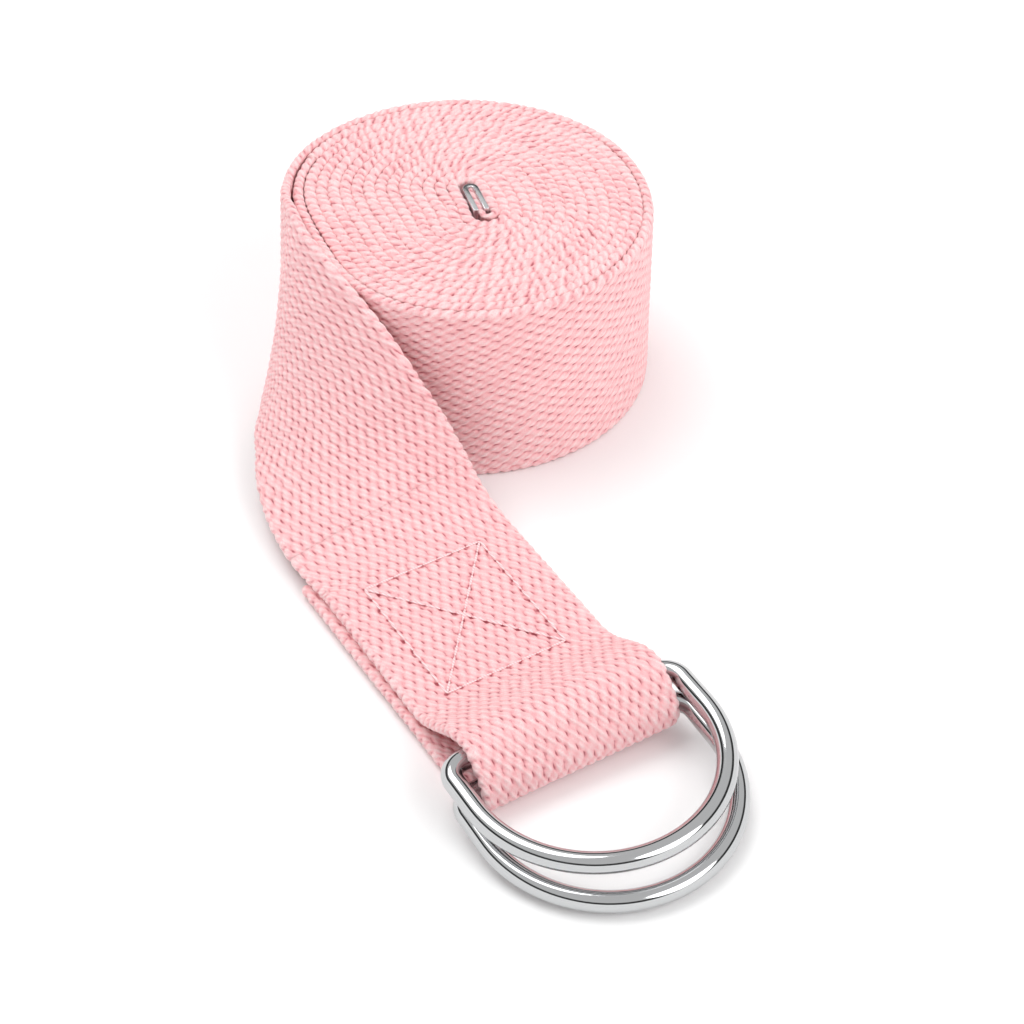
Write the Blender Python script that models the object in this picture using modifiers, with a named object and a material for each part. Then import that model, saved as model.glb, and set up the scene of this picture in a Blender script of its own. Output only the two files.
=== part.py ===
"""Stretching strap: a length of cotton webbing rolled up on edge, with a metal
tip on its inner end and two D-rings sewn into a loop at its outer end.

Metres, +Z up. The origin is on the underside of the roll, in the first turn of
webbing beside the metal tip. The sewn end lies towards -Y.
"""

import math

import bmesh
import bpy
from mathutils import Matrix, Vector

MM = 0.001

# Webbing
WEBBING_WIDTH = 38.0 * MM
WEBBING_THICKNESS = 1.8 * MM
TOUCH_GAP = 0.25 * MM          # between pieces that touch
CUT_GAP = 0.3 * MM             # between two lengths of the webbing at a bend

# Roll: a stadium-shaped spiral about the tip that eases into a near circle
TURN_SLACK = 0.57 * MM         # pitch beyond the webbing's thickness
ROLL_WHOLE_TURNS = 14
ROLL_LEAVES_AT = math.radians(167.0)
ROLL_END_OVAL = 0.4 * MM
TIP_ANGLE = math.radians(17.0)  # direction that the flat of the tip faces
TIP_CENTRE = Vector((2.45 * MM, 1.4 * MM, 0.0))
DENT_ANGLE = math.radians(204.0)
DENT_SPREAD = math.radians(36.0)
DENT_DEPTH = 0.14
STEPS_PER_TURN = 36

# Metal tip: a sheet strip folded over the cut end of the webbing
TIP_LENGTH = 9.3 * MM
TIP_SHEET = 0.4 * MM
TIP_BELOW_EDGE = 0.2 * MM
TIP_PROUD = 0.5 * MM

# Free run between the roll and the sewn end, at equal steps along it: millimetres
# from where it leaves the roll, lift of its lower edge, and tilt from level
RUN_STATIONS = (
    (-0.7, -11.8, 1.6, 87.0),
    (0.0, -23.5, 4.8, 76.0),
    (3.9, -34.7, 5.3, 65.0),
    (8.9, -44.8, 3.8, 50.0),
    (13.7, -54.1, 2.9, 31.0),
    (19.5, -63.3, 3.1, 14.0),
)
RUN_SET_OUT_RADIUS = 34.99 * MM   # of the roll that the stations were set out round
RUN_SET_OUT_HALF_WIDTH = 19.0 * MM
RUN_STEPS_PER_STATION = 5
END_BEND_STATION = 6           # the run bends here when its sewn end is lifted

# Sewn end: a point between the two ring bars, from where the run leaves the roll
END_OFFSET = Vector((52.7 * MM, -117.1 * MM, 0.0))
END_HEADING = math.radians(-59.4)
END_TILT = math.radians(1.8)
SEWN_TOP_HEIGHT = 4.3 * MM     # middle of the upper layer at the stitching
SEWN_START = 52.3 * MM         # where the end becomes straight and level
RISE_LENGTH = 17.3 * MM        # over which the upper layer climbs onto the bars
UNDER_LAYER_LENGTH = 57.6 * MM
UNDER_LAYER_SHIFT = -1.6 * MM  # the folded layer sits askew
LOOP_SLACK = 0.35 * MM         # between the loop and the bars in it
FLOOR_CLEARANCE = 0.1 * MM

# D-rings
WIRE_DIAMETER = 3.7 * MM
RING_EDGE_CLEARANCE = 1.3 * MM  # beside each edge of the webbing
RING_INSIDE_HEIGHT = 28.7 * MM
RING_INSIDE_CORNER = 1.65 * MM
RING_STRAIGHT = 10.0 * MM      # from the bar to where the bow begins
RING_SIDE_SHIFT = -0.45 * MM    # both rings sit to one side of the loop
UPPER_BAR_SETBACK = 1.6 * MM
LOWER_BAR_ADVANCE = 2.3 * MM
UPPER_RING_DROOP = math.radians(1.4)
LOWER_RING_DROOP = math.radians(4.4)

# Box-X stitching
STITCH_CORNERS = ((-48.8, -12.3), (-48.8, 11.4), (-18.9, 11.4), (-18.9, -12.3))
THREAD_DIAMETER = 0.5 * MM

HALF_WIDTH = WEBBING_WIDTH / 2
WIRE_RADIUS = WIRE_DIAMETER / 2
HALF_THICK = WEBBING_THICKNESS / 2
TIP_HALF = HALF_THICK + TOUCH_GAP + TIP_SHEET / 2
TIP_FOLD = TIP_LENGTH / 2 - TIP_HALF - TIP_SHEET / 2  # centre of the fold, along the tip
FIRST_TURN = TIP_HALF + TIP_SHEET / 2 + TOUCH_GAP + HALF_THICK
TURN_PITCH = WEBBING_THICKNESS + TURN_SLACK
ROLL_TURNS = ROLL_WHOLE_TURNS + (ROLL_LEAVES_AT - TIP_ANGLE) / math.tau
# The spiral's centre is this far beside the tip, so that both sides of its first turn clear it
LEAD_OFFSET = ((FIRST_TURN + TURN_PITCH / 2) * (1 - DENT_DEPTH) - FIRST_TURN) / (2 - DENT_DEPTH)
WRAP_RADIUS = WIRE_RADIUS + LOOP_SLACK + HALF_THICK
UP = Vector((0.0, 0.0, 1.0))


def clear_scene():
    for obj in list(bpy.data.objects):
        bpy.data.objects.remove(obj, do_unlink=True)


def material(name, colour, roughness, metallic=0.0):
    made = bpy.data.materials.new(name)
    made.use_nodes = True
    shader = made.node_tree.nodes["Principled BSDF"]
    shader.inputs["Base Color"].default_value = (*colour, 1.0)
    shader.inputs["Roughness"].default_value = roughness
    shader.inputs["Metallic"].default_value = metallic
    return made


def add_object(name, data, collection, finish):
    obj = bpy.data.objects.new(name, data)
    data.materials.append(finish)
    collection.objects.link(obj)
    return obj


def smooth_step(value):
    value = min(max(value, 0.0), 1.0)
    return value * value * (3.0 - 2.0 * value)


def ribbon(name, rows, thickness, collection, finish, origin=Vector()):
    """A strip through rows of (low edge, high edge) points, with a thickness."""
    mesh = bmesh.new()
    edges = []
    for side in zip(*rows):
        verts = [mesh.verts.new(point - origin) for point in side]
        edges += [mesh.edges.new(pair) for pair in zip(verts, verts[1:])]
    bmesh.ops.bridge_loops(mesh, edges=edges)
    data = bpy.data.meshes.new(name)
    mesh.to_mesh(data)
    mesh.free()
    obj = add_object(name, data, collection, finish)
    obj.location = origin
    wall = obj.modifiers.new("Wall", "SOLIDIFY")
    wall.thickness = thickness
    wall.offset = 0.0
    wall.use_even_offset = True
    data.shade_smooth()
    data.set_sharp_from_angle(angle=math.radians(40.0))
    return obj


def spiral_point(turns):
    """Middle of the webbing, this many turns out from beside the tip."""
    share = turns / ROLL_TURNS
    radius = FIRST_TURN - LEAD_OFFSET + TURN_PITCH * turns
    half_flat = TIP_LENGTH / 2 + (ROLL_END_OVAL - TIP_LENGTH / 2) * share
    across, along = math.cos(math.tau * turns), math.sin(math.tau * turns)
    reach = max(-1.0, min(1.0, 2.5 * along))
    local = Vector((radius * across, radius * along + half_flat * reach, 0.0))
    turned = Matrix.Rotation(TIP_ANGLE, 3, "Z") @ local
    bearing = math.atan2(turned.y, turned.x) % math.tau
    dent = 1.0 - DENT_DEPTH * math.exp(-(((bearing - DENT_ANGLE) / DENT_SPREAD) ** 2))
    inner_centre = TIP_CENTRE + Matrix.Rotation(TIP_ANGLE, 3, "Z") @ Vector((LEAD_OFFSET, 0, 0))
    return turned * dent + inner_centre * (1.0 - share)


def tip_frame():
    return Matrix.Translation(TIP_CENTRE) @ Matrix.Rotation(TIP_ANGLE, 4, "Z")


def roll_path():
    """The webbing's middle line: out of the tip, round a tight turn, then the spiral."""
    frame = tip_frame()
    half = TIP_LENGTH / 2
    start = TIP_FOLD + HALF_THICK / 2
    bend = FIRST_TURN / 2
    path = [frame @ Vector((0.0, start - step * (start + half) / 4, 0.0)) for step in range(5)]
    for step in range(1, 7):
        turn = math.pi * step / 6
        path.append(frame @ Vector((bend - bend * math.cos(turn), -half - bend * math.sin(turn), 0.0)))
    count = round(STEPS_PER_TURN * ROLL_TURNS)
    path += [spiral_point(ROLL_TURNS * step / count) for step in range(count + 1)]
    return path


def build_roll(collection, finish):
    rows = [(point, point + UP * WEBBING_WIDTH) for point in roll_path()]
    return ribbon("rolled_webbing", rows, WEBBING_THICKNESS, collection, finish)


def build_tip(collection, finish):
    frame = tip_frame()
    half = TIP_LENGTH / 2
    profile = [(-TIP_HALF, -half + TOUCH_GAP)]
    for step in range(9):
        turn = math.pi * step / 8
        profile.append((-TIP_HALF * math.cos(turn), TIP_FOLD + TIP_HALF * math.sin(turn)))
    profile.append((TIP_HALF, -half + TOUCH_GAP))
    rows = []
    for x, y in profile:
        base = frame @ Vector((x, y, TIP_BELOW_EDGE))
        rows.append((base, base + UP * (WEBBING_WIDTH - TIP_BELOW_EDGE + TIP_PROUD)))
    return ribbon("end_tip", rows, TIP_SHEET, collection, finish)


def end_axes():
    """Directions along, across and out of the sewn end."""
    along = Vector((math.cos(END_HEADING), math.sin(END_HEADING), 0.0))
    level = Vector((-along.y, along.x, 0.0))
    across = level * math.cos(END_TILT) + UP * math.sin(END_TILT)
    return along, across, along.cross(across)


def lower_bar_height():
    lean = (HALF_WIDTH - UNDER_LAYER_SHIFT) * math.sin(END_TILT)
    return FLOOR_CLEARANCE + lean + HALF_THICK + WRAP_RADIUS


def upper_bar_height():
    """The upper ring lies on the lower one."""
    return lower_bar_height() + WIRE_DIAMETER + TOUCH_GAP


def run_place(x, y, tilt):
    """A point of the run, kept clear of a larger roll and of what wider webbing leans over."""
    begin = spiral_point(ROLL_TURNS)
    grown = begin.length / RUN_SET_OUT_RADIUS
    lean = (HALF_WIDTH - RUN_SET_OUT_HALF_WIDTH * grown) * math.cos(tilt)
    return Vector((begin.x + x * grown - lean, begin.y + y * grown, 0.0))


def end_point(along_shift, height, across_shift=0.0):
    along, across, _ = end_axes()
    x, y, _, degrees = RUN_STATIONS[-1]
    from_last = END_OFFSET - Vector((x, y, 0.0)) * MM
    place = run_place(x * MM, y * MM, math.radians(degrees)) + from_last
    point = place + along * along_shift + across * across_shift
    return point + UP * height


def smooth_curve(points, steps):
    """A smooth path (Catmull-Rom) from the second point to the last but one."""
    path = []
    for a, b, c, d in zip(points, points[1:], points[2:], points[3:]):
        for step in range(steps):
            t = step / steps
            path.append(
                0.5 * (2 * b + (c - a) * t + (2 * a - 5 * b + 4 * c - d) * t**2
                       + (3 * b - a - 3 * c + d) * t**3)
            )
    path.append(points[-2])
    return path


def run_rows():
    """Edges of the webbing from the roll to where it lies straight at the sewn end."""
    begin = spiral_point(ROLL_TURNS)
    before = spiral_point(ROLL_TURNS - 0.05)
    stations = [Vector((begin.x, begin.y, HALF_WIDTH, math.pi / 2))]
    for x, y, lift, degrees in RUN_STATIONS:
        tilt = math.radians(degrees)
        height = lift * MM + HALF_WIDTH * math.sin(tilt)
        place = run_place(x * MM, y * MM, tilt)
        stations.append(Vector((place.x, place.y, height, tilt)))
    for back in (SEWN_START, SEWN_START - 12 * MM):
        point = end_point(-back, SEWN_TOP_HEIGHT)
        stations.append(Vector((*point, END_TILT)))
    # Height and tilt set out level from the roll, as if mirrored there
    stations.insert(0, Vector((before.x, before.y, *stations[1].zw)))
    path = smooth_curve(stations, RUN_STEPS_PER_STATION)
    ahead = [*path[1:], path[-1] * 2 - path[-2]]
    behind = [Vector((*(path[0] * 2 - path[1]).xy, *path[1].zw)), *path[:-1]]
    rows = []
    for station, after, prior in zip(path, ahead, behind):
        forward = (after - prior).xyz.normalized()
        level = Vector((-forward.y, forward.x, 0.0)).normalized()
        out = forward.cross(level)
        across = level * math.cos(station.w) + out * math.sin(station.w)
        rows.append((station.xyz - across * HALF_WIDTH, station.xyz + across * HALF_WIDTH))
    return rows


def bend_index():
    return END_BEND_STATION * RUN_STEPS_PER_STATION


def trimmed(rows):
    """The rows, begun a little further on, so that two lengths don't touch."""
    moved = [a + (b - a).normalized() * CUT_GAP for a, b in zip(rows[0], rows[1])]
    return [moved, *rows[1:]]


def roll_pivot():
    """On the outer face of the webbing, where the run swings away from the roll."""
    leave = spiral_point(ROLL_TURNS)
    forward = (leave - spiral_point(ROLL_TURNS - 0.01)).normalized()
    return leave + forward.cross(UP) * HALF_THICK


def build_run(collection, finish):
    """The free run, with its origin on the line about which it swings off the roll."""
    rows = run_rows()[: bend_index() + 1]
    name, pivot = "webbing_run", roll_pivot()
    return ribbon(name, trimmed(rows), WEBBING_THICKNESS, collection, finish, pivot)


def loop_profile():
    """The sewn end from the side, as (along, height, shift across) of the webbing's middle:
    the upper layer, round both ring bars, and back as the under layer."""
    upper, lower = upper_bar_height(), lower_bar_height()
    crest = upper + WRAP_RADIUS
    points = []
    begin = SEWN_START - RISE_LENGTH - UPPER_BAR_SETBACK
    for step in range(1, 5):
        points.append((-SEWN_START + begin * step / 4, SEWN_TOP_HEIGHT, 0.0))
    for step in range(1, 11):
        share = step / 10
        rise = (crest - SEWN_TOP_HEIGHT) * smooth_step(share)
        along = -UPPER_BAR_SETBACK - RISE_LENGTH * (1 - share)
        points.append((along, SEWN_TOP_HEIGHT + rise, 0.0))
    fall = math.atan2(LOWER_BAR_ADVANCE + UPPER_BAR_SETBACK, upper - lower)
    lean = math.pi / 2 - fall
    for step in range(1, 5):
        turn = lean * step / 4
        along = -UPPER_BAR_SETBACK + WRAP_RADIUS * math.sin(turn)
        points.append((along, upper + WRAP_RADIUS * math.cos(turn), 0.0))
    for step in range(11):
        share = step / 10
        turn = lean + (math.pi - lean) * share
        along = LOWER_BAR_ADVANCE + WRAP_RADIUS * math.sin(turn)
        height = lower + WRAP_RADIUS * math.cos(turn)
        points.append((along, height, UNDER_LAYER_SHIFT * 0.5 * share))
    under = SEWN_TOP_HEIGHT - WEBBING_THICKNESS - CUT_GAP
    floor = lower - WRAP_RADIUS
    for step in range(1, 17):
        share = step / 16
        along = LOWER_BAR_ADVANCE - (UNDER_LAYER_LENGTH + LOWER_BAR_ADVANCE) * share
        climb = smooth_step((LOWER_BAR_ADVANCE - 6 * MM - along) / RISE_LENGTH)
        shift = UNDER_LAYER_SHIFT * (0.5 + 0.5 * share)
        points.append((along, floor + (under - floor) * climb, shift))
    return points


def bend_pivot():
    """On the upper face of the webbing, midway across it, where the sewn end lifts."""
    before, here = run_rows()[bend_index() - 1 : bend_index() + 1]
    across = (here[1] - here[0]).normalized()
    forward = here[0] + here[1] - before[0] - before[1]
    return (here[0] + here[1]) / 2 + forward.cross(across).normalized() * HALF_THICK


def build_sewn_loop(collection, finish):
    """The sewn end, with its origin on the line about which it lifts."""
    _, across, _ = end_axes()
    rows = trimmed(run_rows()[bend_index():])
    for along, height, shift in loop_profile():
        middle = end_point(along, height, shift)
        rows.append((middle - across * HALF_WIDTH, middle + across * HALF_WIDTH))
    return ribbon("sewn_loop", rows, WEBBING_THICKNESS, collection, finish, bend_pivot())


def ring_outline():
    """Middle of the wire, with the bar's middle at the origin and the bow towards +Y."""
    half = HALF_WIDTH + RING_EDGE_CLEARANCE + WIRE_RADIUS
    height = RING_INSIDE_HEIGHT + WIRE_DIAMETER
    corner = RING_INSIDE_CORNER + WIRE_RADIUS
    points = [(side * (half - corner) / 3, 0.0) for side in range(-2, 3)]
    for step in range(7):
        turn = math.pi / 2 * step / 6
        x = half - corner + corner * math.sin(turn)
        points.append((x, corner - corner * math.cos(turn)))
    for step in range(33):
        turn = math.pi * step / 32
        y = RING_STRAIGHT + (height - RING_STRAIGHT) * math.sin(turn)
        points.append((half * math.cos(turn), y))
    for step in range(7):
        turn = math.pi / 2 * (1 - step / 6)
        x = half - corner + corner * math.sin(turn)
        points.append((-x, corner - corner * math.cos(turn)))
    return points


def build_ring(name, along_shift, height, droop, collection, finish):
    """One D-ring, with its origin on its bar's axis."""
    data = bpy.data.curves.new(name, "CURVE")
    data.dimensions = "3D"
    data.bevel_depth = WIRE_RADIUS
    data.bevel_resolution = 3
    outline = ring_outline()
    spline = data.splines.new("POLY")
    spline.points.add(len(outline) - 1)
    for point, (x, y) in zip(spline.points, outline):
        point.co = (x, y, 0.0, 1.0)
    spline.use_cyclic_u = True
    obj = add_object(name, data, collection, finish)
    along, across, out = end_axes()
    bow = along * math.cos(droop) - out * math.sin(droop)
    facing = Matrix((across, bow, across.cross(bow))).transposed()
    place = end_point(along_shift, height, RING_SIDE_SHIFT)
    obj.matrix_world = Matrix.Translation(place) @ facing.to_4x4()
    return obj


def build_thread(name, level, collection, finish, cutters):
    """A box with a cross through it, laid just off one face of the sewn layers."""
    along, across, out = end_axes()
    frame = Matrix((along, across, out)).transposed().to_4x4()
    corners = [Vector((a * MM, b * MM, 0.0)) for a, b in STITCH_CORNERS]
    pairs = [(0, 1), (1, 2), (2, 3), (3, 0), (0, 2), (1, 3)]
    whole = None
    for first, second in pairs:
        start, stop = corners[first], corners[second]
        span = stop - start
        data = bpy.data.meshes.new(name)
        mesh = bmesh.new()
        bmesh.ops.create_cube(mesh, size=1.0)
        size = (span.length + THREAD_DIAMETER, THREAD_DIAMETER, THREAD_DIAMETER)
        bmesh.ops.scale(mesh, vec=size, verts=mesh.verts)
        turned = Matrix.Rotation(math.atan2(span.y, span.x), 3, "Z")
        bmesh.ops.rotate(mesh, matrix=turned, verts=mesh.verts)
        bmesh.ops.translate(mesh, vec=(start + stop) / 2, verts=mesh.verts)
        mesh.to_mesh(data)
        mesh.free()
        if whole is None:
            whole = add_object(name, data, collection, finish)
            bar = whole
        else:
            bar = add_object(f"{name}_bar_{first}{second}", data, cutters, finish)
            bar.hide_render = True
            bar.display_type = "WIRE"
            join = whole.modifiers.new("Join", "BOOLEAN")
            join.operation = "UNION"
            join.object = bar
        bar.matrix_world = Matrix.Translation(end_point(0.0, level)) @ frame
    return whole


def main():
    clear_scene()
    scene = bpy.context.scene.collection
    strap = bpy.data.collections.new("stretching_strap")
    cutters = bpy.data.collections.new("cutters")
    scene.children.link(strap)
    scene.children.link(cutters)

    webbing = material("woven cotton webbing", (0.86, 0.42, 0.44), 0.9)
    steel = material("polished chrome plated steel", (0.75, 0.75, 0.76), 0.08, 1.0)
    tip = material("nickel plated sheet steel", (0.5, 0.51, 0.52), 0.25, 1.0)
    thread = material("polyester sewing thread", (0.9, 0.5, 0.52), 0.6)

    build_roll(strap, webbing)
    build_tip(strap, tip)
    build_run(strap, webbing)
    build_sewn_loop(strap, webbing)
    build_ring("upper_ring", -UPPER_BAR_SETBACK, upper_bar_height(), UPPER_RING_DROOP, strap, steel)
    build_ring("lower_ring", LOWER_BAR_ADVANCE, lower_bar_height(), LOWER_RING_DROOP, strap, steel)
    stand_off = HALF_THICK + TOUCH_GAP + THREAD_DIAMETER / 2
    under = SEWN_TOP_HEIGHT - WEBBING_THICKNESS - CUT_GAP
    build_thread("needle_thread", SEWN_TOP_HEIGHT + stand_off, strap, thread, cutters)
    build_thread("bobbin_thread", under - stand_off, strap, thread, cutters)
    bpy.context.view_layer.update()


main()
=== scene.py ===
import math

import bpy
import numpy as np
from mathutils import Matrix, Vector


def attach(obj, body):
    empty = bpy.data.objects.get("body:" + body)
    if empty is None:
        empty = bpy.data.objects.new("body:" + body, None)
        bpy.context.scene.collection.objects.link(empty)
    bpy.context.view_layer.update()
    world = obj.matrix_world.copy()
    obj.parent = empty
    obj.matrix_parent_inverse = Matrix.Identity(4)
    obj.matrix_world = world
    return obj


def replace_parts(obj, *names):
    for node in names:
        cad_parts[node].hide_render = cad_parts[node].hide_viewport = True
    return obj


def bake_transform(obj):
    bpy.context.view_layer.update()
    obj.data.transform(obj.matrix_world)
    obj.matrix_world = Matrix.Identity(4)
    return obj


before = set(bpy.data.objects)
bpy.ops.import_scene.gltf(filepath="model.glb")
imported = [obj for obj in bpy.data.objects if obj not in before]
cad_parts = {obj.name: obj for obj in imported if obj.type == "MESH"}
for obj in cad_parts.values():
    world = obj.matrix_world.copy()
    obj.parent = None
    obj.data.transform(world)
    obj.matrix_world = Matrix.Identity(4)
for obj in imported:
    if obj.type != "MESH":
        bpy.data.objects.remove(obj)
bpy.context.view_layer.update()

# --- The roll of webbing -------------------------------------------------------------
# Heavy cotton webbing, 38 mm wide and about 1.8 mm thick, wound by hand round its metal
# end tip and stood on edge. The outermost turn is its own piece, because its woven face
# shows, while only the selvedges of the turns inside it do.
MM = 0.001
HALF_WIDTH = 19.0
TURN_PITCH = 2.37
TURNS = 14 + 150 / 360
FIRST_TURN = 2.7               # middle of the first turn, from the middle of the tip
LEAD = 0.3447                  # the spiral's centre, beside the tip
TIP_ANGLE = math.radians(17)
TIP_CENTRE = np.array([2.45, 1.4])
TIP_LENGTH = 9.3
TIP_FOLD = 3.1                 # centre of the tip's fold, along it
CUT_END_PAST_FOLD = 0.45       # the webbing's cut end, inside the tip
OVAL_AT_END = 0.4              # the first turn is as oval as the tip, the last nearly round
OVAL_SQUARENESS = 2.5
DENT_ANGLE = math.radians(204)
DENT_SPREAD = math.radians(36)
DENT_DEPTH = 0.14              # share of the radius that is pressed in on that side

GRAIN_LENGTH = 4.1             # from one float of a warp yarn to its next
GRAIN_SPACING = 1.96           # between warp yarns that float side by side
GRAIN_HEIGHT = 0.5
GRAIN_REACH = 0.38             # half of a grain's length, in GRAIN_LENGTH
GRAIN_SPREAD = 0.47            # half of a grain's width, in GRAIN_SPACING
HALF_CORE = 0.62               # half the thickness down in the valleys of the weave
EDGE_ROUND = 0.9
EDGE_BUMP = 0.55
EDGE_SWELL = 0.12              # the selvedge is this much thicker, on each side
EDGE_STEPS = 8                 # faces round the selvedge
EDGE_BAND = 1.2                # first faces beside the selvedge, where no weave shows
ROW_STEP = GRAIN_LENGTH / 8
ACROSS_STEP = GRAIN_SPACING / 8
UV_PER_MM = 0.01


def spiral(turns):
    """Middle of the webbing, this many turns out from beside the tip."""
    share = turns / TURNS
    radius = FIRST_TURN - LEAD + TURN_PITCH * turns
    flat = TIP_LENGTH / 2 + (OVAL_AT_END - TIP_LENGTH / 2) * share
    over, along = np.cos(math.tau * turns), np.sin(math.tau * turns)
    x = radius * over
    y = radius * along + flat * np.clip(OVAL_SQUARENESS * along, -1, 1)
    c, s = math.cos(TIP_ANGLE), math.sin(TIP_ANGLE)
    x, y = c * x - s * y, s * x + c * y
    bearing = np.arctan2(y, x) % math.tau
    dent = 1 - DENT_DEPTH * np.exp(-(((bearing - DENT_ANGLE) / DENT_SPREAD) ** 2))
    centre = TIP_CENTRE + LEAD * np.array([c, s])
    return np.stack([x * dent, y * dent], 1) + centre * (1 - share)[:, None]


def in_tip():
    """Middle of the webbing from its cut end in the tip, round a tight turn to the spiral."""
    turn = np.linspace(0, math.pi, 16)
    bend = FIRST_TURN / 2
    half = TIP_LENGTH / 2
    x = np.concatenate([[0, 0], bend - bend * np.cos(turn[1:])])
    y = np.concatenate([[TIP_FOLD + CUT_END_PAST_FOLD, -half], -half - bend * np.sin(turn[1:])])
    c, s = math.cos(TIP_ANGLE), math.sin(TIP_ANGLE)
    return np.stack([c * x - s * y, s * x + c * y], 1) + TIP_CENTRE


def evenly(path, step):
    """The same path with its points this far apart, and the distance of each along it."""
    gaps = np.linalg.norm(np.diff(path[:, :3], axis=0), axis=1)
    length = np.concatenate([[0], np.cumsum(gaps)])
    along = np.linspace(0, length[-1], round(length[-1] / step) + 1)
    return np.stack([np.interp(along, length, column) for column in path.T], 1), along


def weave(along, over):
    """Height of the woven face, 0 to 1: long floats of warp yarn, laid like bricks.

    The small sines let the yarns wander by a few hundredths of a grain."""
    drift = 0.04 * np.sin(0.31 * along + 2.1 * over) + 0.03 * np.sin(1.7 * over)
    u = along / GRAIN_LENGTH + drift - 0.02 * over
    w = over / GRAIN_SPACING + 0.03 * np.sin(0.47 * along)
    height = 0 * u
    for shift in (0, 0.5):
        from_end = (u - shift - np.round(u - shift)) / GRAIN_REACH
        from_side = (w - shift - np.round(w - shift)) / GRAIN_SPREAD
        height = np.maximum(height, 1 - from_end**2 - from_side**2)
    uneven = 0.9 + 0.1 * np.sin(0.9 * along + 3.3 * over)
    return np.sqrt(height) * uneven


def selvedge(along, angle):
    """Height of the edge, 0 to 1: the weft yarn turns back there, and leaves slanting bumps."""
    phase = along / GRAIN_LENGTH * 2 + 0.22 * np.sin(angle)
    wander = 0.15 * np.sin(0.83 * along) + 0.1 * np.sin(2.9 * along)
    return np.abs(np.sin(math.pi * (phase + wander))) ** 0.7


def woven(name, middle, across, start, fine_outer=True, fine_inner=True, span=(0, None),
          half=HALF_CORE):
    """A closed strip of webbing along part of the middle line, woven on faces that show."""
    inner = HALF_WIDTH - EDGE_ROUND
    fine = np.linspace(-inner, inner, round(2 * inner / ACROSS_STEP) + 1)
    plain = np.array([-inner, EDGE_BAND - inner, inner - EDGE_BAND, inner])
    outer_face = fine if fine_outer else plain
    inner_face = (fine if fine_inner else plain)[::-1]
    bend = np.radians(np.linspace(90, -90, EDGE_STEPS + 1)[1:-1])
    edge = EDGE_ROUND * np.cos(bend)
    over = np.concatenate([outer_face, inner + edge, inner_face, -inner - edge, [-inner]])
    angle = np.concatenate([outer_face * 0 + math.pi / 2, bend,
                            inner_face * 0 - math.pi / 2, bend - math.pi, [math.pi / 2]])
    on_edge = np.abs(over) > inner + 1e-6
    out = np.sin(angle)
    side = np.where(on_edge, np.cos(angle), 0.0)

    tangent = np.gradient(middle, axis=0)
    face = np.cross(tangent, across)
    face /= np.linalg.norm(face, axis=1)[:, None]
    middle, across, face = (values[slice(*span)] for values in (middle, across, face))
    rows, columns = len(middle), len(over)
    along = start + np.arange(rows)[:, None] * ROW_STEP * np.ones(columns)
    across_at = over + 0 * along
    woven_height = weave(along + np.where(out > 0, 0, GRAIN_LENGTH / 2), across_at)
    height = np.where(on_edge, selvedge(along, angle + 0 * along), woven_height)
    coarse = ((out > 0) & (not fine_outer)) | ((out < 0) & (not fine_inner))
    lift = height * np.where(on_edge, EDGE_BUMP, GRAIN_HEIGHT * ~coarse)

    v = over + side * (lift - EDGE_BUMP / 2)
    thick = np.broadcast_to(half, rows)[:, None] + EDGE_SWELL * on_edge
    n = out * (thick + np.where(on_edge, lift / 2, lift))
    points = middle[:, None] + across[:, None] * v[..., None] + face[:, None] * n[..., None]

    bpy.ops.object.select_all(action="DESELECT")
    bpy.ops.mesh.primitive_grid_add(x_subdivisions=columns - 1, y_subdivisions=rows - 1)
    strip = bpy.context.object
    strip.name = strip.data.name = name
    mesh = strip.data
    mesh.vertices.foreach_set("co", (points * MM).ravel())
    girth = np.concatenate([[0], np.cumsum(np.hypot(np.diff(over), EDGE_ROUND * np.diff(out)))])
    flat = np.stack([along, girth + 0 * along], 2).reshape(-1, 2)
    corners = np.empty(len(mesh.loops), np.int32)
    mesh.loops.foreach_get("vertex_index", corners)
    mesh.uv_layers[0].data.foreach_set("uv", (flat[corners] * UV_PER_MM).ravel())
    # the relief height; the cotton material paints shade where it is low and highlight where
    # high
    mesh.attributes.new("weave", "FLOAT", "POINT").data.foreach_set("value", height.ravel())
    bpy.ops.object.mode_set(mode="EDIT")
    bpy.ops.mesh.select_all(action="SELECT")
    bpy.ops.mesh.remove_doubles(threshold=1e-6)
    bpy.ops.mesh.fill_holes(sides=0)
    bpy.ops.mesh.select_all(action="SELECT")
    bpy.ops.mesh.normals_make_consistent(inside=False)
    bpy.ops.object.mode_set(mode="OBJECT")
    bpy.ops.object.shade_smooth()
    for polygon in mesh.polygons:
        polygon.use_smooth = len(polygon.vertices) < 5  # the cut ends stay flat
    return strip


def linear(code):
    """An sRGB hex colour as linear RGBA."""
    parts = [int(code[i:i + 2], 16) / 255 for i in (0, 2, 4)]
    return [c / 12.92 if c < 0.04045 else ((c + 0.055) / 1.055) ** 2.4 for c in parts] + [1.0]


def add_node(tree, kind, links=(), **settings):
    """Adds a node, sets its named properties or input values, and links its inputs."""
    node = tree.nodes.new(kind)
    for key, value in settings.items():
        if hasattr(node, key):
            setattr(node, key, value)
        else:
            node.inputs[key.replace("_", " ")].default_value = value
    for socket, source in dict(links).items():
        tree.links.new(source, node.inputs[socket])
    return node


def new_material(name):
    made = bpy.data.materials.new(name)
    made.use_nodes = True
    return made, made.node_tree, made.node_tree.nodes["Principled BSDF"]
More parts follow.
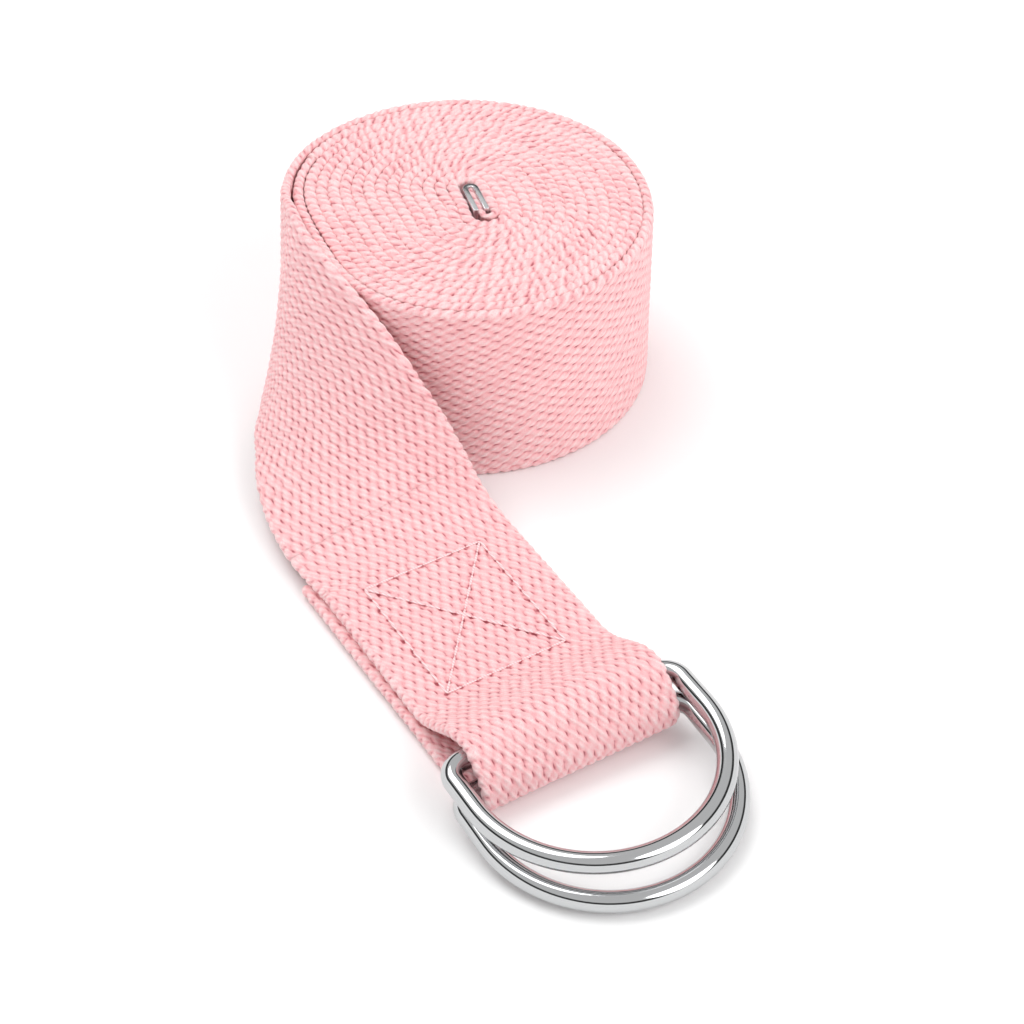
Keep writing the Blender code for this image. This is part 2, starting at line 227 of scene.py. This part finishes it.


# Carded cotton dyed pale rose, plain woven: matt, with a faint fuzz that catches light.
# Yarns are about 1 mm, twisted from two plies, which the fine slanting ridges draw.
# The colour ramp paints shade into the valleys of the weave and the grooves between the
# plies, and paints highlights on the tops of the grains; the middle pink and the blotches
# of dye are the cotton's own colour.
# painted highlight on the tops of the grains
COTTON_PAINTED_HIGHLIGHT = linear("FFDFDF")
COTTON_MID = linear("F9B4B8")
# painted shade in the valleys of the weave
COTTON_PAINTED_SHADE = linear("BC636D")
PLY_PITCH = 0.9376             # mm between the slanting ridges of the plies
PLY_SLANT = math.radians(52)
WAVE_LENGTH = math.tau / 20    # of a wave texture at scale 1
FUZZ_PER_MM = 4.2              # fibre ends
BLOTCHES_PER_MM = 0.22         # where the dye took a little more or less
cotton, tree, shader = new_material("dyed cotton webbing, painted shade and highlight")
place = add_node(tree, "ShaderNodeUVMap")
depth = add_node(tree, "ShaderNodeAttribute", attribute_name="weave")
ply_map = add_node(tree, "ShaderNodeMapping", {"Vector": place.outputs["UV"]})
ply_map.inputs["Rotation"].default_value = (0, 0, PLY_SLANT)
ply = add_node(tree, "ShaderNodeTexWave", {"Vector": ply_map.outputs["Vector"]},
               Scale=WAVE_LENGTH / (PLY_PITCH * UV_PER_MM), Distortion=1.2, Detail=1.0,
               Detail_Scale=1.5)
fuzz = add_node(tree, "ShaderNodeTexNoise", {"Vector": place.outputs["UV"]},
                Scale=FUZZ_PER_MM / UV_PER_MM, Detail=4.0, Roughness=0.65)
blotch = add_node(tree, "ShaderNodeTexNoise", {"Vector": place.outputs["UV"]},
                  Scale=BLOTCHES_PER_MM / UV_PER_MM, Detail=2.0)
level = add_node(tree, "ShaderNodeMath", {0: depth.outputs["Fac"], 1: fuzz.outputs["Fac"]},
                 operation="MULTIPLY")
mixed = add_node(tree, "ShaderNodeMath", {0: ply.outputs["Fac"], 2: level.outputs["Value"]},
                 operation="MULTIPLY_ADD")
mixed.inputs[1].default_value = 0.16
shift = add_node(tree, "ShaderNodeMath", {0: blotch.outputs["Fac"], 2: mixed.outputs["Value"]},
                 operation="MULTIPLY_ADD")
shift.inputs[1].default_value = 0.14
# painted shade and highlight: the higher the weave and the ply ridge, the paler the pink
ramp = add_node(tree, "ShaderNodeValToRGB", {"Fac": shift.outputs["Value"]})
ramp.color_ramp.elements[0].position = 0.12
ramp.color_ramp.elements[0].color = COTTON_PAINTED_SHADE
ramp.color_ramp.elements[1].position = 0.72
ramp.color_ramp.elements[1].color = COTTON_PAINTED_HIGHLIGHT
ramp.color_ramp.elements.new(0.33).color = COTTON_MID
tree.links.new(ramp.outputs["Color"], shader.inputs["Base Color"])
ridges = add_node(tree, "ShaderNodeBump", {"Height": ply.outputs["Fac"]},
                  Strength=0.6, Distance=0.00016)
fibres = add_node(tree, "ShaderNodeBump",
                  {"Height": fuzz.outputs["Fac"], "Normal": ridges.outputs["Normal"]},
                  Strength=0.8, Distance=0.00012)
tree.links.new(fibres.outputs["Normal"], shader.inputs["Normal"])
shader.inputs["Roughness"].default_value = 0.88
shader.inputs["Sheen Weight"].default_value = 0.25
shader.inputs["Sheen Roughness"].default_value = 0.45
shader.inputs["Specular IOR Level"].default_value = 0.25

TURN_SAMPLES = 720
OUTER_TURN = 1.04              # turns from the end that are woven all over
OUTER_HALF = 0.68              # half thicknesses, under the weave where it is drawn
INNER_HALF = 0.98
PINCHED_HALF = 0.4             # in the tip, which is pressed shut on the webbing
PINCHED_ROWS = (16, 32)        # rows between which the pinched webbing swells again


def upright(flat_path):
    """A path on the floor as the middle line of webbing that stands on its edge."""
    path, _ = evenly(flat_path, ROW_STEP)
    middle = np.column_stack([path, np.full(len(path), HALF_WIDTH)])
    return middle, np.tile([0.0, 0.0, 1.0], (len(middle), 1))


turns = np.linspace(0, TURNS, round(TURNS * TURN_SAMPLES))
wound = spiral(turns)
split = np.searchsorted(turns, TURNS - OUTER_TURN)
outer_line, upward = upright(wound[split:])
outer_turn = woven("outer_turn", outer_line, upward, -ROW_STEP * (len(outer_line) - 1),
                   fine_inner=False, half=OUTER_HALF)
inner_line, upward = upright(np.concatenate([in_tip(), wound[:split + 1]]))
inner_start = -ROW_STEP * (len(outer_line) + len(inner_line) - 2)
inner_half = np.interp(np.arange(len(inner_line)), PINCHED_ROWS, (PINCHED_HALF, INNER_HALF))
inner_turns = woven("inner_turns", inner_line, upward, inner_start,
                    fine_outer=False, fine_inner=False, half=inner_half)
for piece, rows in ((inner_turns, inner_line), (outer_turn, outer_line)):
    piece.data.materials.append(cotton)
    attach(piece, "roll")
    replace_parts(piece, "rolled_webbing")

# --- The free run of webbing ---------------------------------------------------------
# The same webbing where it comes off the roll on edge, leans over and twists until it
# lies flat. Nothing fixes it: it bends at the roll, and again before the sewn end.
LEAVE = spiral(np.array([TURNS]))[0]
RUN_STATIONS = (               # x and y from the roll, height of the lower edge, tilt
    (-0.7, -11.8, 1.6, 87.0),
    (0.0, -23.5, 4.8, 76.0),
    (3.9, -34.7, 5.3, 65.0),
    (8.9, -44.8, 3.8, 50.0),
    (13.7, -54.1, 2.9, 31.0),
    (19.5, -63.3, 3.1, 14.0),
)
BEND_STATION = 6
END_OFFSET = np.array([52.7, -117.1, 0.0])
END_HEADING = math.radians(-59.4)
END_TILT = math.radians(1.8)
SEWN_TOP = 4.3
SEWN_START = 52.3
STATION_STEPS = 40
LEAD_IN = 0.05                 # turns of the roll that aim the start of the run
LEAD_OUT = 12                  # length of the straight end that aims its finish

ALONG = np.array([math.cos(END_HEADING), math.sin(END_HEADING), 0.0])
LEVEL = np.array([-ALONG[1], ALONG[0], 0.0])
ACROSS = LEVEL * math.cos(END_TILT) + np.array([0, 0, math.sin(END_TILT)])
OUT = np.cross(ALONG, ACROSS)
END_POINT = np.array([*LEAVE, 0.0]) + END_OFFSET


def run_path():
    """Middle line and direction across, from the roll to the straight sewn end.

    A smooth curve passes through each station, with its tilt changing as smoothly."""
    stations = [[*LEAVE, HALF_WIDTH, math.pi / 2]]
    for x, y, lift, degrees in RUN_STATIONS:
        tilt = math.radians(degrees)
        stations.append([LEAVE[0] + x, LEAVE[1] + y, lift + HALF_WIDTH * math.sin(tilt), tilt])
    for back in (SEWN_START, SEWN_START - LEAD_OUT):
        stations.append([*(END_POINT - ALONG * back)[:2], SEWN_TOP, END_TILT])
    before = spiral(np.array([TURNS - LEAD_IN]))[0]
    p = np.array([[*before, *stations[1][2:]], *stations])
    t = np.linspace(0, 1, STATION_STEPS, endpoint=False)[:, None]
    path = []
    for a, b, c, d in zip(p, p[1:], p[2:], p[3:]):
        path.append(0.5 * (2 * b + (c - a) * t + (2 * a - 5 * b + 4 * c - d) * t**2
                           + (3 * b - a - 3 * c + d) * t**3))
    path = np.concatenate(path + [p[-2:-1]])
    tangent = np.gradient(path[:, :3], axis=0)
    tangent[0, 2] = 0
    tangent /= np.linalg.norm(tangent, axis=1)[:, None]
    level = np.stack([-tangent[:, 1], tangent[:, 0], 0 * tangent[:, 0]], 1)
    level /= np.linalg.norm(level, axis=1)[:, None]
    tilt = path[:, 3:]
    across = level * np.cos(tilt) + np.cross(tangent, level) * np.sin(tilt)
    return np.hstack([path[:, :3], across])


def ready(path):
    """Middle line and unit directions across, with rows one step apart."""
    path, _ = evenly(path, ROW_STEP)
    across = path[:, 3:6] / np.linalg.norm(path[:, 3:6], axis=1)[:, None]
    return path[:, :3], across


# Run and sewn end are one length, so both follow one middle line. It lies straight to the
# sewn end, rises over the two bars of the rings, and comes back underneath.
WEBBING_HALF = 0.9             # half the thickness that the webbing has to its neighbours
WIRE_RADIUS = 1.85
WRAP_RADIUS = WIRE_RADIUS + 0.35 + WEBBING_HALF
UPPER_BAR_SETBACK = 1.6
LOWER_BAR_ADVANCE = 2.3
RISE_LENGTH = 17.3
UNDER_LENGTH = 57.6
UNDER_SHIFT = -1.6             # the under layer lies this far beside the upper one
UNDER_FLAT = 6                 # and stays on the floor this far before it rises to it
UNDER_LEVEL = SEWN_TOP - 2.2
FLOOR_GAP = 0.1
BAR_GAP = 0.25
LOWEST_EDGE = (HALF_WIDTH - UNDER_SHIFT) * math.sin(END_TILT)
LOWER_BAR = FLOOR_GAP + LOWEST_EDGE + WEBBING_HALF + WRAP_RADIUS
UPPER_BAR = LOWER_BAR + 2 * WIRE_RADIUS + BAR_GAP
LOOP_STEPS = 40                # points along each stretch of the loop
SMOOTHING_PASSES = 6


def eased(share):
    """The share, starting and ending gently."""
    share = np.clip(share, 0, 1)
    return share * share * (3 - 2 * share)


def loop_line():
    """The end from the side: along, height and shift across of the webbing's middle."""
    share = np.linspace(0, 1, LOOP_STEPS)
    crest = UPPER_BAR + WRAP_RADIUS
    run_up = -SEWN_START + (SEWN_START - RISE_LENGTH - UPPER_BAR_SETBACK) * share[1:]
    pieces = [np.stack([run_up, 0 * run_up + SEWN_TOP, 0 * run_up], 1)]
    rise = -UPPER_BAR_SETBACK - RISE_LENGTH * (1 - share[1:])
    climb = SEWN_TOP + (crest - SEWN_TOP) * eased(share[1:])
    pieces.append(np.stack([rise, climb, 0 * rise], 1))
    lean = math.pi / 2 - math.atan2(LOWER_BAR_ADVANCE + UPPER_BAR_SETBACK, UPPER_BAR - LOWER_BAR)
    turn = lean * share[1:]
    pieces.append(np.stack([WRAP_RADIUS * np.sin(turn) - UPPER_BAR_SETBACK,
                            UPPER_BAR + WRAP_RADIUS * np.cos(turn), 0 * turn], 1))
    turn = lean + (math.pi - lean) * share
    pieces.append(np.stack([LOWER_BAR_ADVANCE + WRAP_RADIUS * np.sin(turn),
                            LOWER_BAR + WRAP_RADIUS * np.cos(turn),
                            UNDER_SHIFT * 0.5 * share], 1))
    back = LOWER_BAR_ADVANCE - (UNDER_LENGTH + LOWER_BAR_ADVANCE) * share[1:]
    floor = LOWER_BAR - WRAP_RADIUS
    rise = eased((LOWER_BAR_ADVANCE - UNDER_FLAT - back) / RISE_LENGTH)
    pieces.append(np.stack([back, floor + (UNDER_LEVEL - floor) * rise,
                            UNDER_SHIFT * (0.5 + 0.5 * share[1:])], 1))
    return np.concatenate(pieces)


side_view = loop_line()
loop_middle = (END_POINT + side_view[:, :1] * ALONG + side_view[:, 2:] * ACROSS
               + side_view[:, 1:2] * np.array([0, 0, 1.0]))
loop_path = np.hstack([loop_middle, np.tile(ACROSS, (len(loop_middle), 1))])
whole_run = run_path()
bend_at = BEND_STATION * STATION_STEPS
to_bend = np.linalg.norm(np.diff(whole_run[:bend_at + 1, :3], axis=0), axis=1).sum()
bend_row = round(to_bend / ROW_STEP)
line, across = ready(np.concatenate([whole_run, loop_path]))
for _ in range(SMOOTHING_PASSES):
    line[1:-1] = (line[:-2] + 2 * line[1:-1] + line[2:]) / 4
    across[1:-1] = (across[:-2] + 2 * across[1:-1] + across[2:]) / 4
free_run = woven("free_run", line, across, 0.0, span=(0, bend_row + 1))
free_run.data.materials.append(cotton)
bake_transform(free_run)
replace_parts(free_run, "webbing_run")

# --- The sewn end --------------------------------------------------------------------
# The last 14 cm of the webbing, passed through the bars of both rings and folded back
# under itself, where a box with a cross of stitching holds the two layers together.
sewn_end = woven("sewn_end_loop", line, across, ROW_STEP * bend_row, span=(bend_row, None))

# Needle holes of the box-X: the thread draws the cloth down at each of them,
# and shade is painted into each hole.
BOX = ((-48.8, -12.3), (-48.8, 11.4), (-18.9, 11.4), (-18.9, -12.3))
STITCH_PATH = (0, 1, 2, 3, 0, 2, 3, 1)
STITCH_LENGTH = 2.9
DIMPLE_DEPTH = 0.38
DIMPLE_REACH = 0.48
DIMPLE_PAINTED_SHADE = 0.25            # painted shade: how much darker than the weave's valleys a hole is coloured
FACE_BAND = 0.7                # height on each side of a face that still belongs to it
FACE_LIFT = 0.95               # from the middle of a layer to its face


def stitches():
    """Each stitch of the box and its cross, as the (along, across) points of its two ends."""
    pairs = []
    done = set()
    for a, b in zip(STITCH_PATH, STITCH_PATH[1:]):
        if frozenset((a, b)) in done:
            continue
        done.add(frozenset((a, b)))
        start, end = np.array(BOX[a]), np.array(BOX[b])
        count = round(np.linalg.norm(end - start) / STITCH_LENGTH)
        stops = [start + (end - start) * i / count for i in range(count + 1)]
        pairs += list(zip(stops, stops[1:]))
    return pairs


def draw_down(strip, holes, top, outward):
    """Dimples the face at this height that looks up (1) or down (-1), and paints shade in them.
    """
    mesh = strip.data
    co = np.empty(len(mesh.vertices) * 3)
    mesh.vertices.foreach_get("co", co)
    co = co.reshape(-1, 3)
    local = co / MM - END_POINT
    along, over, out = local @ ALONG, local @ ACROSS, local @ OUT
    value = np.empty(len(mesh.vertices))
    mesh.attributes["weave"].data.foreach_get("value", value)
    pull = np.zeros(len(co))
    near = np.abs(out - top) < FACE_BAND
    for hole in holes:
        distance = (along - hole[0]) ** 2 + (over - hole[1]) ** 2
        pull = np.maximum(pull, near * np.exp(-distance / DIMPLE_REACH**2))
    co -= (pull * DIMPLE_DEPTH * outward * MM)[:, None] * OUT
    mesh.vertices.foreach_set("co", co.ravel())
    # painted shade: the weave value in each hole drops below the valleys, so it is coloured
    # darker
    mesh.attributes["weave"].data.foreach_set("value", value * (1 - pull) - DIMPLE_PAINTED_SHADE * pull)


holes = [pair[0] for pair in stitches()]
draw_down(sewn_end, holes, SEWN_TOP + FACE_LIFT, 1)
draw_down(sewn_end, holes, UNDER_LEVEL - FACE_LIFT, -1)
sewn_end.data.materials.append(cotton)
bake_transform(sewn_end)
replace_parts(sewn_end, "sewn_loop")

# --- Box-X stitching -----------------------------------------------------------------
# Bonded polyester thread, a little paler than the webbing, lock stitched through both
# layers: the needle thread shows on top, and the bobbin thread underneath.
THREAD_WIDTH = 0.5
BEAD_HALF_WIDTH = THREAD_WIDTH * 0.55
BEAD_HALF_HEIGHT = THREAD_WIDTH * 0.42
THREAD_LIFT = 1.05             # from the middle of a layer to the thread on its face
TWIST_SCALE = 900.0            # a ridge of the twist every 0.35 mm
thread, tree, shader = new_material("bonded polyester sewing thread")
place = add_node(tree, "ShaderNodeTexCoord")
twist = add_node(tree, "ShaderNodeTexWave", {"Vector": place.outputs["Object"]},
                 Scale=TWIST_SCALE, Distortion=0.6, bands_direction="DIAGONAL")
ramp = add_node(tree, "ShaderNodeValToRGB", {"Fac": twist.outputs["Fac"]})
ramp.color_ramp.elements[0].color = linear("F3BFC3")
ramp.color_ramp.elements[1].color = linear("FFE9EA")
tree.links.new(ramp.outputs["Color"], shader.inputs["Base Color"])
twisted = add_node(tree, "ShaderNodeBump", {"Height": twist.outputs["Fac"]},
                   Strength=0.4, Distance=0.00005)
tree.links.new(twisted.outputs["Normal"], shader.inputs["Normal"])
shader.inputs["Roughness"].default_value = 0.5
shader.inputs["Sheen Weight"].default_value = 0.15


def sew(name, level, side):
    """One thread's stitches, each a bead drawn in at both of its ends."""
    beads = []
    for first, last in stitches():
        span = last - first
        bpy.ops.object.select_all(action="DESELECT")
        bpy.ops.mesh.primitive_uv_sphere_add(segments=8, ring_count=8)
        bead = bpy.context.object
        bead.data.transform(Matrix.Rotation(math.pi / 2, 4, "Y"))
        reach = np.linalg.norm(span) * 0.5
        bead.data.transform(Matrix.Diagonal((reach, BEAD_HALF_WIDTH, BEAD_HALF_HEIGHT, 1)))
        bead.data.transform(Matrix.Rotation(math.atan2(span[1], span[0]), 4, "Z"))
        middle = (first + last) / 2
        spot = END_POINT + ALONG * middle[0] + ACROSS * middle[1]
        spot = spot + np.array([0, 0, 1.0]) * level + OUT * side
        axes = Matrix(np.column_stack([ALONG, ACROSS, OUT]).tolist()).to_4x4()
        bead.data.transform(Matrix.Translation(spot) @ axes)
        bead.data.transform(Matrix.Scale(MM, 4))
        beads.append(bead)
    bpy.ops.object.select_all(action="DESELECT")
    for bead in beads:
        bead.select_set(True)
    bpy.context.view_layer.objects.active = beads[0]
    bpy.ops.object.join()
    seam = bpy.context.object
    seam.name = seam.data.name = name
    bpy.ops.object.shade_smooth()
    seam.data.materials.append(thread)
    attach(seam, "sewn_end")
    return seam


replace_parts(sew("needle_stitches", SEWN_TOP, THREAD_LIFT), "needle_thread")
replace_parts(sew("bobbin_stitches", UNDER_LEVEL, -THREAD_LIFT), "bobbin_thread")

# --- Metal end tip -------------------------------------------------------------------
# A strip of nickel plated sheet folded over the cut end of the webbing and pressed
# shut. The roll is wound round it, so that only its upper rim shows in the eye.
SHEET = 1.0                    # thickness of the metal
TIP_WALL = 1.05                # middle of a wall, from the middle of the tip
TIP_OPEN_END = TIP_LENGTH / 2 - 0.25  # from the middle to where the walls end
TIP_HEIGHT = 38.2
TIP_MIDDLE_HEIGHT = 19.35
bpy.ops.object.select_all(action="DESELECT")
bpy.ops.mesh.primitive_plane_add(size=1.0)
tip = bpy.context.object
tip.name = tip.data.name = "folded_tip"
tip.data.transform(Matrix.Rotation(math.pi / 2, 4, "Y"))
tip.data.transform(Matrix.Diagonal((1, TIP_FOLD + TIP_OPEN_END, TIP_HEIGHT, 1)))
tip.data.transform(Matrix.Translation(
    (-TIP_WALL, (TIP_FOLD - TIP_OPEN_END) / 2, TIP_MIDDLE_HEIGHT)))
bpy.ops.object.mode_set(mode="EDIT")
bpy.ops.mesh.select_all(action="DESELECT")
bpy.ops.object.mode_set(mode="OBJECT")
for edge in tip.data.edges:
    edge.select = all(tip.data.vertices[i].co.y > TIP_FOLD - 0.01 for i in edge.vertices)
bpy.ops.object.mode_set(mode="EDIT")
bpy.ops.mesh.select_mode(type="EDGE")
bpy.ops.mesh.spin(steps=12, angle=math.pi, center=(0, TIP_FOLD, 0), axis=(0, 0, 1))
bpy.ops.mesh.extrude_region_move(
    TRANSFORM_OT_translate={"value": (0, -(TIP_FOLD + TIP_OPEN_END), 0)})
bpy.ops.mesh.select_all(action="SELECT")
bpy.ops.mesh.remove_doubles(threshold=1e-4)
bpy.ops.mesh.normals_make_consistent(inside=False)
bpy.ops.object.mode_set(mode="OBJECT")
wall = tip.modifiers.new("wall", "SOLIDIFY")
wall.thickness = SHEET
wall.offset = 0
rim = tip.modifiers.new("rim", "BEVEL")
rim.width = 0.12               # pressing rounds the sheet's edges a little
rim.segments = 3
rim.limit_method = "ANGLE"
for modifier in ("wall", "rim"):
    bpy.ops.object.modifier_apply(modifier=modifier)
tip.data.transform(Matrix.Scale(MM, 4) @ Matrix.Translation((*TIP_CENTRE, 0))
                   @ Matrix.Rotation(TIP_ANGLE, 4, "Z"))
bpy.ops.object.shade_smooth_by_angle(angle=math.radians(35))

# Nickel plate on pressed steel: bright but softly brushed, with fine pressing marks.
MARKS_PER_METRE = 600.0
nickel, tree, shader = new_material("nickel plated pressed steel")
place = add_node(tree, "ShaderNodeTexCoord")
marks = add_node(tree, "ShaderNodeTexNoise", {"Vector": place.outputs["Object"]},
                 Scale=MARKS_PER_METRE, Detail=3.0)
rough = add_node(tree, "ShaderNodeMapRange", {"Value": marks.outputs["Fac"]})
rough.inputs["To Min"].default_value = 0.08
rough.inputs["To Max"].default_value = 0.25
tree.links.new(rough.outputs["Result"], shader.inputs["Roughness"])
dents = add_node(tree, "ShaderNodeBump", {"Height": marks.outputs["Fac"]},
                 Strength=0.25, Distance=0.0001)
tree.links.new(dents.outputs["Normal"], shader.inputs["Normal"])
shader.inputs["Base Color"].default_value = linear("DCDDDF")
shader.inputs["Metallic"].default_value = 1.0
tip.data.materials.append(nickel)
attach(tip, "roll")
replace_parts(tip, "end_tip")

# --- The two D-rings -----------------------------------------------------------------
# Steel wire 3.7 mm thick, bent to a D, butt welded in the middle of its straight bar and
# chrome plated. Both hang on the fold of the webbing, the second under the first.
RING_SIDE_GAP = 1.3            # between the webbing's edge and the wire
RING_HALF = HALF_WIDTH + RING_SIDE_GAP + WIRE_RADIUS
RING_CORNER = 1.65 + WIRE_RADIUS      # bend of the wire's middle at each corner
RING_STRAIGHT = 10.0           # from the bar to where the hoop begins
RING_DEPTH = 28.7 + 2 * WIRE_RADIUS   # from the bar's middle to the hoop's
RING_SHIFT = -0.45             # both rings hang a little to one side
UPPER_DROOP = math.radians(1.4)       # how far the hoop hangs below level
LOWER_DROOP = math.radians(4.4)

# Bright chrome over nickel: a mirror, with a faint orange peel from tumbling the wire.
PEEL_PER_METRE = 260.0
chrome, tree, shader = new_material("chrome plated steel wire")
place = add_node(tree, "ShaderNodeTexCoord")
peel = add_node(tree, "ShaderNodeTexNoise", {"Vector": place.outputs["Object"]},
                Scale=PEEL_PER_METRE, Detail=2.0)
rough = add_node(tree, "ShaderNodeMapRange", {"Value": peel.outputs["Fac"]})
rough.inputs["To Min"].default_value = 0.03
rough.inputs["To Max"].default_value = 0.11
tree.links.new(rough.outputs["Result"], shader.inputs["Roughness"])
ripple = add_node(tree, "ShaderNodeBump", {"Height": peel.outputs["Fac"]},
                  Strength=0.06, Distance=0.0003)
tree.links.new(ripple.outputs["Normal"], shader.inputs["Normal"])
shader.inputs["Base Color"].default_value = linear("C6C7C8")
shader.inputs["Metallic"].default_value = 1.0


def make_ring(name, setback, height, droop, body):
    """A D of wire: half a hoop, then straight sides, tight corners and the bar."""
    bpy.ops.object.select_all(action="DESELECT")
    bpy.ops.mesh.primitive_torus_add(major_segments=128, minor_segments=28,
                                     major_radius=RING_HALF, minor_radius=WIRE_RADIUS)
    ring = bpy.context.object
    ring.name = ring.data.name = name
    bpy.ops.object.mode_set(mode="EDIT")
    bpy.ops.mesh.select_all(action="SELECT")
    bpy.ops.mesh.bisect(plane_co=(0, 0, 0), plane_no=(0, 1, 0), clear_inner=True)
    bpy.ops.object.mode_set(mode="OBJECT")
    ring.data.transform(Matrix.Translation((0, RING_STRAIGHT, 0))
                        @ Matrix.Diagonal((1, (RING_DEPTH - RING_STRAIGHT) / RING_HALF, 1, 1)))
    for side in (1, -1):
        bpy.ops.object.mode_set(mode="EDIT")
        bpy.ops.mesh.select_all(action="DESELECT")
        bpy.ops.object.mode_set(mode="OBJECT")
        for edge in ring.data.edges:
            ends = [ring.data.vertices[i].co for i in edge.vertices]
            edge.select = all(abs(p.y - RING_STRAIGHT) < 1e-3 and p.x * side > 0 for p in ends)
        bpy.ops.object.mode_set(mode="EDIT")
        bpy.ops.mesh.select_mode(type="EDGE")
        bpy.ops.mesh.extrude_region_move(
            TRANSFORM_OT_translate={"value": (0, RING_CORNER - RING_STRAIGHT, 0)})
        bpy.ops.mesh.spin(steps=14, angle=side * math.pi / 2, axis=(0, 0, 1),
                          center=(side * (RING_HALF - RING_CORNER), RING_CORNER, 0))
        bpy.ops.mesh.extrude_region_move(
            TRANSFORM_OT_translate={"value": (side * (RING_CORNER - RING_HALF), 0, 0)})
    bpy.ops.mesh.select_all(action="SELECT")
    bpy.ops.mesh.remove_doubles(threshold=1e-3)
    bpy.ops.mesh.normals_make_consistent(inside=False)
    bpy.ops.object.mode_set(mode="OBJECT")
    bow = ALONG * math.cos(droop) - OUT * math.sin(droop)
    axes = Matrix(np.column_stack([ACROSS, bow, np.cross(ACROSS, bow)]).tolist()).to_4x4()
    spot = END_POINT + ALONG * setback + ACROSS * RING_SHIFT + np.array([0, 0, height])
    ring.data.transform(Matrix.Scale(MM, 4) @ Matrix.Translation(spot) @ axes)
    bpy.ops.object.shade_smooth()
    ring.data.materials.append(chrome)
    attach(ring, body)
    return ring


upper_wire = make_ring("upper_wire_ring", -UPPER_BAR_SETBACK, UPPER_BAR, UPPER_DROOP,
                       "ring_above")
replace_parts(upper_wire, "upper_ring")
lower_wire = make_ring("lower_wire_ring", LOWER_BAR_ADVANCE, LOWER_BAR, LOWER_DROOP,
                       "ring_below")
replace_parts(lower_wire, "lower_ring")

# --- Studio --------------------------------------------------------------------------
# A white sweep in an evenly lit white room, with a soft light from the upper left and a
# weaker one from the right. A dark rail round the room gives the chrome its dark streaks.
bpy.ops.object.select_all(action="DESELECT")
bpy.ops.mesh.primitive_plane_add(size=6.0, location=(0, 0, -0.0002))
floor = bpy.context.object
floor.name = "studio_floor"
paper, tree, shader = new_material("white paper sweep")
shader.inputs["Base Color"].default_value = (1.0, 1.0, 1.0, 1)
shader.inputs["Roughness"].default_value = 0.9
floor.data.materials.append(paper)

LIT_SPOT = Vector((0, -0.05, 0))


def soft_light(name, spot, size, power):
    """A round lamp that looks at the middle of the strap."""
    bpy.ops.object.light_add(type="AREA", location=spot)
    light = bpy.context.object
    light.name = name
    light.data.shape = "DISK"
    light.data.size = size
    light.data.energy = power
    light.rotation_euler = (LIT_SPOT - Vector(spot)).to_track_quat("-Z", "Y").to_euler()


soft_light("key", (-0.45, 0.3, 1.25), 1.1, 8.5)
soft_light("fill", (0.8, -0.6, 0.8), 0.9, 5.5)

RAIL = ((0.28, 1.0), (0.35, 0.05), (0.54, 0.03), (0.62, 0.62))  # height and brightness
room = bpy.data.worlds.new("room")
bpy.context.scene.world = room
room.use_nodes = True
tree = room.node_tree
sky = add_node(tree, "ShaderNodeTexCoord")
look = add_node(tree, "ShaderNodeSeparateXYZ", {"Vector": sky.outputs["Generated"]})
ramp = add_node(tree, "ShaderNodeValToRGB", {"Fac": look.outputs["Z"]})
ramp.color_ramp.elements[0].color = (1.0, 1.0, 1.0, 1)
ramp.color_ramp.elements[1].color = (0.6, 0.6, 0.6, 1)
for height, bright in RAIL:
    ramp.color_ramp.elements.new(height).color = (bright, bright, bright, 1)
tree.links.new(ramp.outputs["Color"], tree.nodes["Background"].inputs["Color"])
tree.nodes["Background"].inputs["Strength"].default_value = 1.2

CAMERA_SPOT = (0.009525, -0.3875, 0.3008)
CAMERA_LOOKS_DOWN = 41.43      # degrees
LENS = 85.0921875              # mm, on a sensor 36 mm wide
bpy.ops.object.camera_add(location=CAMERA_SPOT,
                          rotation=(math.radians(90 - CAMERA_LOOKS_DOWN), 0, 0))
camera = bpy.context.object
camera.data.sensor_width = 36.0
camera.data.lens = LENS
bpy.context.scene.camera = camera
bpy.context.scene.view_settings.view_transform = "Standard"
